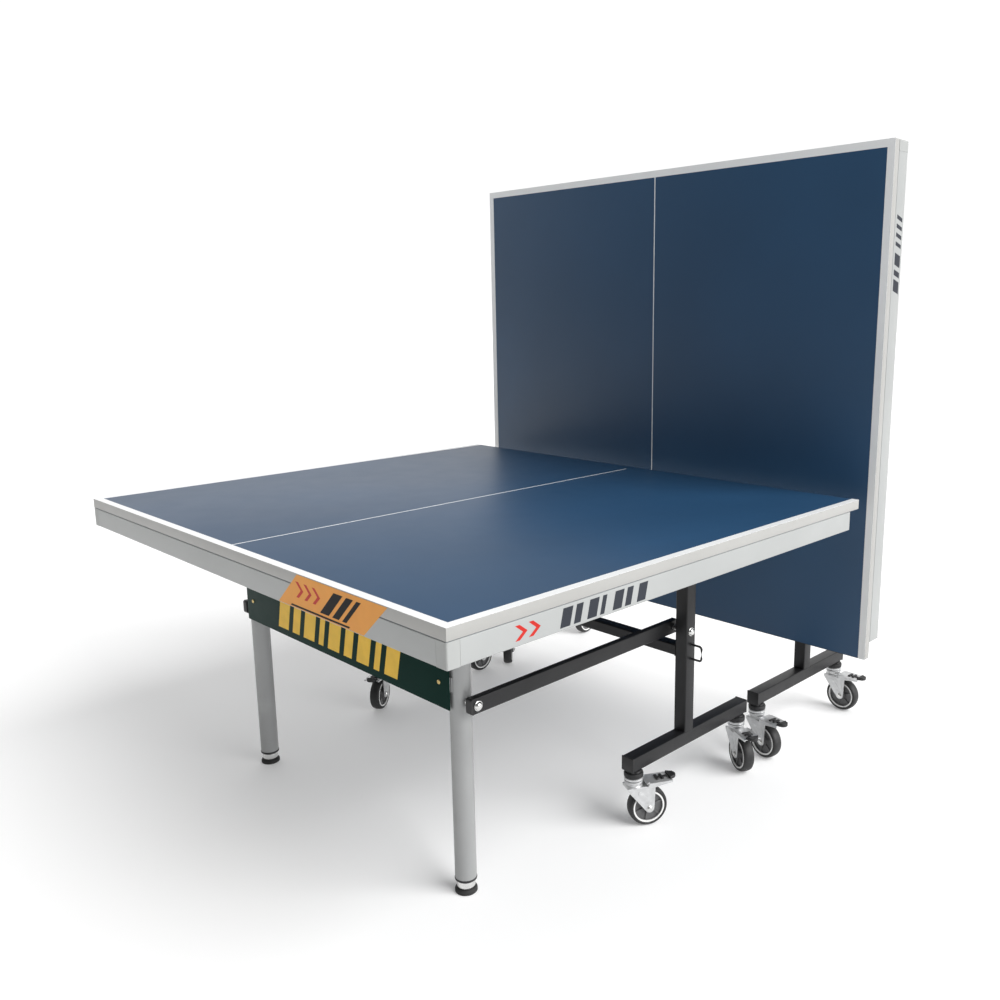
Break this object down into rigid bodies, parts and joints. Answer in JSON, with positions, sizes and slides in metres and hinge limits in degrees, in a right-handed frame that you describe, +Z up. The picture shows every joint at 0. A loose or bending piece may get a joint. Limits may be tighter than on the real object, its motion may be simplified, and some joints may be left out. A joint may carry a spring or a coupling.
{
  "type": "folding table tennis table",
  "caption": "Roll-away table tennis table in halves on wheeled trolleys: one half open for play on legs with levelling feet, the other folded upright.",
  "frame": {"origin": "on the floor, midway between the ends and the sides of the whole table in the stance drawn", "axes": "+X from the open half to the folded half, +Y across the table, +Z up"},
  "size_m": [1.7566, 1.525, 1.664],
  "materials": {
    "board_paint": "satin blue paint on board",
    "line_paint": "flat white paint",
    "apron_paint": "satin pale grey powder coat",
    "cap_plastic": "moulded pale grey",
    "frame_paint": "satin black powder coat",
    "zinc": "zinc plated",
    "leg_paint": "satin silver grey powder coat",
    "banner_paint": "satin dark green paint",
    "rubber": "moulded black",
    "wheel_rubber": "black tread",
    "pedal_black": "satin black"
  },
  "bodies": {
    "near_trolley": {"near_frame_left": "frame_paint", "near_frame_right": "frame_paint", "near_crossbar": "frame_paint", "near_fittings": "zinc", "near_loops": "frame_paint"},
    "near_top": {"near_board": "board_paint", "near_lines": "line_paint", "near_apron": "apron_paint", "near_corner_caps": "cap_plastic", "near_underframe": "frame_paint", "near_brackets": "frame_paint"},
    "near_leg_frame": {"near_legs": "leg_paint", "near_banner": "banner_paint", "near_leg_fittings": "zinc"},
    "near_link_left": {"near_link_left": "frame_paint"},
    "near_foot_left": {"near_foot_left": "rubber"},
    "near_link_right": {"near_link_right": "frame_paint"},
    "near_foot_right": {"near_foot_right": "rubber"},
    "far_trolley": {"far_frame_left": "frame_paint", "far_frame_right": "frame_paint", "far_crossbar": "frame_paint", "far_fittings": "zinc", "far_loops": "frame_paint"},
    "far_top": {"far_board": "board_paint", "far_lines": "line_paint", "far_apron": "apron_paint", "far_corner_caps": "cap_plastic", "far_underframe": "frame_paint", "far_brackets": "frame_paint"},
    "far_leg_frame": {"far_legs": "leg_paint", "far_banner": "banner_paint", "far_leg_fittings": "zinc"},
    "far_link_left": {"far_link_left": "frame_paint"},
    "far_foot_left": {"far_foot_left": "rubber"},
    "far_link_right": {"far_link_right": "frame_paint"},
    "far_foot_right": {"far_foot_right": "rubber"},
    "caster_1": {"fork_1": "zinc"},
    "caster_wheel_1": {"wheel_1": "wheel_rubber"},
    "caster_pedal_1": {"pedal_1": "pedal_black"},
    "caster_2": {"fork_2": "zinc"},
    "caster_wheel_2": {"wheel_2": "wheel_rubber"},
    "caster_pedal_2": {"pedal_2": "pedal_black"},
    "caster_3": {"fork_3": "zinc"},
    "caster_wheel_3": {"wheel_3": "wheel_rubber"},
    "caster_pedal_3": {"pedal_3": "pedal_black"},
    "caster_4": {"fork_4": "zinc"},
    "caster_wheel_4": {"wheel_4": "wheel_rubber"},
    "caster_pedal_4": {"pedal_4": "pedal_black"},
    "caster_5": {"fork_5": "zinc"},
    "caster_wheel_5": {"wheel_5": "wheel_rubber"},
    "caster_pedal_5": {"pedal_5": "pedal_black"},
    "caster_6": {"fork_6": "zinc"},
    "caster_wheel_6": {"wheel_6": "wheel_rubber"},
    "caster_pedal_6": {"pedal_6": "pedal_black"},
    "caster_7": {"fork_7": "zinc"},
    "caster_wheel_7": {"wheel_7": "wheel_rubber"},
    "caster_pedal_7": {"pedal_7": "pedal_black"},
    "caster_8": {"fork_8": "zinc"},
    "caster_wheel_8": {"wheel_8": "wheel_rubber"},
    "caster_pedal_8": {"pedal_8": "pedal_black"}
  },
  "joints": [
    {"name": "near_top_tilt", "type": "hinge", "parent": "near_trolley", "child": "near_top", "pos_m": [0.08575, 0, 0.7], "axis": [0, 1, 0], "range_deg": [0, 90]},
    {"name": "near_leg_hang", "type": "hinge", "parent": "near_top", "child": "near_leg_frame", "pos_m": [-0.57025, 0, 0.696], "axis": [0, 1, 0], "range_deg": [-90, 0]},
    {"name": "near_link_left_swing", "type": "hinge", "parent": "near_trolley", "child": "near_link_left", "pos_m": [0.06775, -0.481, 0.455], "axis": [0, 1, 0], "range_deg": [0, 90]},
    {"name": "near_foot_left_screw", "type": "slide", "parent": "near_leg_frame", "child": "near_foot_left", "axis": [0, 0, -1], "range_m": [0, 0.012]},
    {"name": "near_link_right_swing", "type": "hinge", "parent": "near_trolley", "child": "near_link_right", "pos_m": [0.06775, 0.481, 0.455], "axis": [0, 1, 0], "range_deg": [0, 90]},
    {"name": "near_foot_right_screw", "type": "slide", "parent": "near_leg_frame", "child": "near_foot_right", "axis": [0, 0, -1], "range_m": [0, 0.012]},
    {"name": "far_roll", "type": "slide", "parent": "near_trolley", "child": "far_trolley", "axis": [1, 0, 0], "range_m": [0, 0.277]},
    {"name": "far_top_unfold", "type": "hinge", "parent": "far_trolley", "child": "far_top", "pos_m": [0.63575, 0, 0.7], "axis": [0, 1, 0], "range_deg": [0, 90]},
    {"name": "far_leg_hang", "type": "hinge", "parent": "far_top", "child": "far_leg_frame", "pos_m": [0.63975, 0, 1.356], "axis": [0, 1, 0], "range_deg": [-90, 0]},
    {"name": "far_link_left_swing", "type": "hinge", "parent": "far_trolley", "child": "far_link_left", "pos_m": [0.65375, 0.481, 0.455], "axis": [0, 1, 0], "range_deg": [0, 90]},
    {"name": "far_foot_left_screw", "type": "slide", "parent": "far_leg_frame", "child": "far_foot_left", "axis": [0, 0, -1], "range_m": [0, 0.012]},
    {"name": "far_link_right_swing", "type": "hinge", "parent": "far_trolley", "child": "far_link_right", "pos_m": [0.65375, -0.481, 0.455], "axis": [0, 1, 0], "range_deg": [0, 90]},
    {"name": "far_foot_right_screw", "type": "slide", "parent": "far_leg_frame", "child": "far_foot_right", "axis": [0, 0, -1], "range_m": [0, 0.012]},
    {"name": "caster_1_swivel", "type": "hinge", "parent": "near_trolley", "child": "caster_1", "pos_m": [-0.13125, -0.527, 0.1], "axis": [0, 0, 1], "continuous": true},
    {"name": "caster_1_roll", "type": "hinge", "parent": "caster_1", "child": "caster_wheel_1", "pos_m": [-0.09976, -0.54445, 0.05], "axis": [0.4848, 0.8746, 0], "continuous": true},
    {"name": "caster_1_brake", "type": "hinge", "parent": "caster_1", "child": "caster_pedal_1", "pos_m": [-0.09801, -0.54542, 0.112], "axis": [0.4848, 0.8746, 0], "range_deg": [0, 12]},
    {"name": "caster_2_swivel", "type": "hinge", "parent": "near_trolley", "child": "caster_2", "pos_m": [0.30875, -0.527, 0.1], "axis": [0, 0, 1], "range_deg": [-190, 50]},
    {"name": "caster_2_roll", "type": "hinge", "parent": "caster_2", "child": "caster_wheel_2", "pos_m": [0.29185, -0.55879, 0.05], "axis": [0.8829, -0.4695, 0], "continuous": true},
    {"name": "caster_2_brake", "type": "hinge", "parent": "caster_2", "child": "caster_pedal_2", "pos_m": [0.29091, -0.56055, 0.112], "axis": [0.8829, -0.4695, 0], "range_deg": [0, 12]},
    {"name": "caster_3_swivel", "type": "hinge", "parent": "near_trolley", "child": "caster_3", "pos_m": [-0.13125, 0.527, 0.1], "axis": [0, 0, 1], "continuous": true},
    {"name": "caster_3_roll", "type": "hinge", "parent": "caster_3", "child": "caster_wheel_3", "pos_m": [-0.16178, 0.50792, 0.05], "axis": [0.5299, -0.848, 0], "continuous": true},
    {"name": "caster_3_brake", "type": "hinge", "parent": "caster_3", "child": "caster_pedal_3", "pos_m": [-0.16348, 0.50686, 0.112], "axis": [0.5299, -0.848, 0], "range_deg": [0, 12]},
    {"name": "caster_4_swivel", "type": "hinge", "parent": "near_trolley", "child": "caster_4", "pos_m": [0.30875, 0.527, 0.1], "axis": [0, 0, 1], "range_deg": [-120, 60]},
    {"name": "caster_4_roll", "type": "hinge", "parent": "caster_4", "child": "caster_wheel_4", "pos_m": [0.27289, 0.52386, 0.05], "axis": [0.0872, -0.9962, 0], "continuous": true},
    {"name": "caster_4_brake", "type": "hinge", "parent": "caster_4", "child": "caster_pedal_4", "pos_m": [0.27089, 0.52369, 0.112], "axis": [0.0872, -0.9962, 0], "range_deg": [0, 12]},
    {"name": "caster_5_swivel", "type": "hinge", "parent": "far_trolley", "child": "caster_5", "pos_m": [0.85275, 0.527, 0.1], "axis": [0, 0, 1], "continuous": true},
    {"name": "caster_5_roll", "type": "hinge", "parent": "caster_5", "child": "caster_wheel_5", "pos_m": [0.81689, 0.52386, 0.05], "axis": [0.0872, -0.9962, 0], "continuous": true},
    {"name": "caster_5_brake", "type": "hinge", "parent": "caster_5", "child": "caster_pedal_5", "pos_m": [0.8149, 0.52369, 0.112], "axis": [0.0872, -0.9962, 0], "range_deg": [0, 12]},
    {"name": "caster_6_swivel", "type": "hinge", "parent": "far_trolley", "child": "caster_6", "pos_m": [0.41275, 0.527, 0.1], "axis": [0, 0, 1], "range_deg": [-10, 250]},
    {"name": "caster_6_roll", "type": "hinge", "parent": "caster_6", "child": "caster_wheel_6", "pos_m": [0.38729, 0.50154, 0.05], "axis": [0.7071, -0.7071, 0], "continuous": true},
    {"name": "caster_6_brake", "type": "hinge", "parent": "caster_6", "child": "caster_pedal_6", "pos_m": [0.38588, 0.50013, 0.112], "axis": [0.7071, -0.7071, 0], "range_deg": [0, 12]},
    {"name": "caster_7_swivel", "type": "hinge", "parent": "far_trolley", "child": "caster_7", "pos_m": [0.85275, -0.527, 0.1], "axis": [0, 0, 1], "continuous": true},
    {"name": "caster_7_roll", "type": "hinge", "parent": "caster_7", "child": "caster_wheel_7", "pos_m": [0.85212, -0.563, 0.05], "axis": [0.9998, -0.0175, 0], "continuous": true},
    {"name": "caster_7_brake", "type": "hinge", "parent": "caster_7", "child": "caster_pedal_7", "pos_m": [0.85209, -0.56499, 0.112], "axis": [0.9998, -0.0175, 0], "range_deg": [0, 12]},
    {"name": "caster_8_swivel", "type": "hinge", "parent": "far_trolley", "child": "caster_8", "pos_m": [0.41275, -0.527, 0.1], "axis": [0, 0, 1], "range_deg": [-40, 230]},
    {"name": "caster_8_roll", "type": "hinge", "parent": "caster_8", "child": "caster_wheel_8", "pos_m": [0.4065, -0.56245, 0.05], "axis": [0.9848, -0.1736, 0], "continuous": true},
    {"name": "caster_8_brake", "type": "hinge", "parent": "caster_8", "child": "caster_pedal_8", "pos_m": [0.40615, -0.56442, 0.112], "axis": [0.9848, -0.1736, 0], "range_deg": [0, 12]}
  ],
  "couplings": [
    {"joint": "near_leg_hang", "follows": "near_top_tilt", "ratio": -1},
    {"joint": "near_link_left_swing", "follows": "near_top_tilt", "ratio": 1},
    {"joint": "near_link_right_swing", "follows": "near_top_tilt", "ratio": 1},
    {"joint": "far_roll", "follows": "far_top_unfold", "m_per_rad": 0.17634},
    {"joint": "far_leg_hang", "follows": "far_top_unfold", "ratio": -1},
    {"joint": "far_link_left_swing", "follows": "far_top_unfold", "ratio": 1},
    {"joint": "far_link_right_swing", "follows": "far_top_unfold", "ratio": 1}
  ]
}
